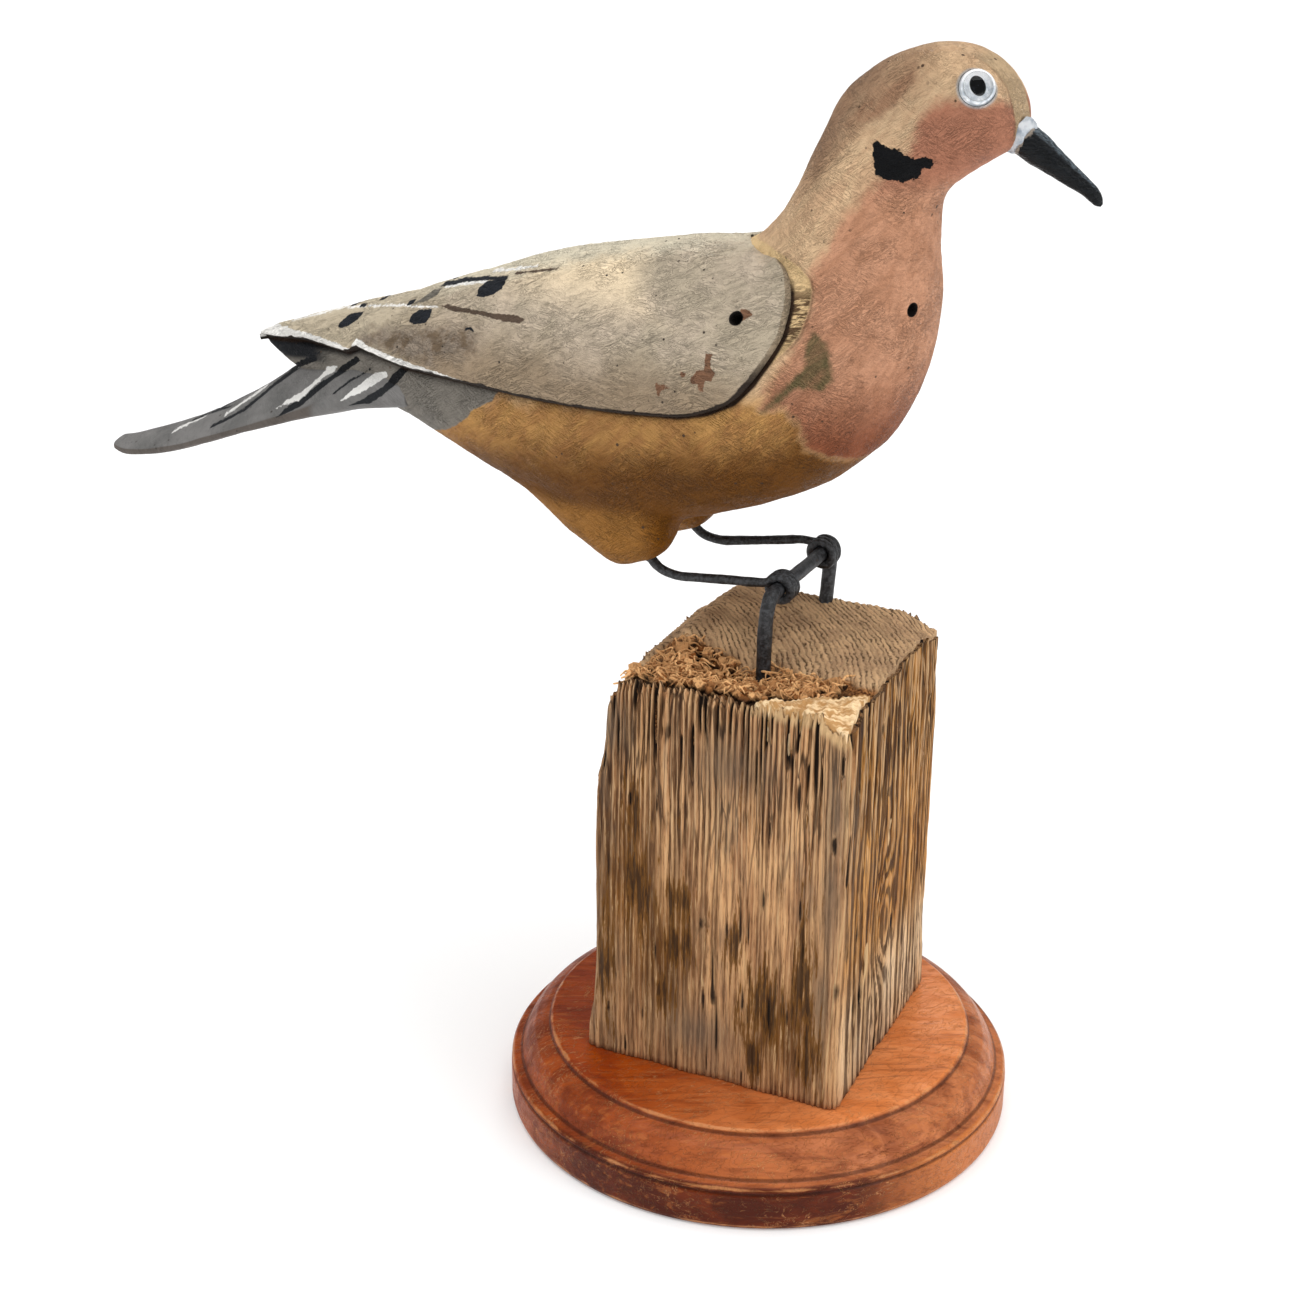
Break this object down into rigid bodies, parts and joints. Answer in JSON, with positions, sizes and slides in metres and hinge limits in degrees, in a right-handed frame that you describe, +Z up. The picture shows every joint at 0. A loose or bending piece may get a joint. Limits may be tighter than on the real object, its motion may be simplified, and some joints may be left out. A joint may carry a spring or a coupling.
{
  "type": "carved dove figure",
  "caption": "Carved and painted wooden dove on a bent wire perch, set in a weathered post on a round turned plinth.",
  "frame": {"origin": "centre of the round plinth's flat underside", "axes": "+Z up, +X the way the bill points, +Y towards the bird's left side, so the bird's right side faces -Y"},
  "size_m": [0.328, 0.1524, 0.3178],
  "materials": {
    "painted_wood": "matt oil paint on carved wood: grey-beige wings, pink breast, ochre belly, grey tail, brush marks and worn patches",
    "bill_paint": "satin black paint",
    "glue": "milky translucent glue",
    "eye_glass": "polished glass with a black pupil on a whitish ground",
    "black_wire": "black annealed iron wire with a dull sheen",
    "weathered_wood": "bare weathered softwood with raised grain and rusty stains",
    "stained_wood": "red-brown stain under satin varnish, scratched"
  },
  "bodies": {
    "root": {"dove_body": "painted_wood", "bill": "bill_paint", "bill_glue": "glue", "eye_right": "eye_glass", "eye_left": "eye_glass", "leg_wire_right": "black_wire", "leg_wire_left": "black_wire", "perch_wire": "black_wire", "post_block": "weathered_wood", "plinth": "stained_wood"}
  },
  "joints": []
}
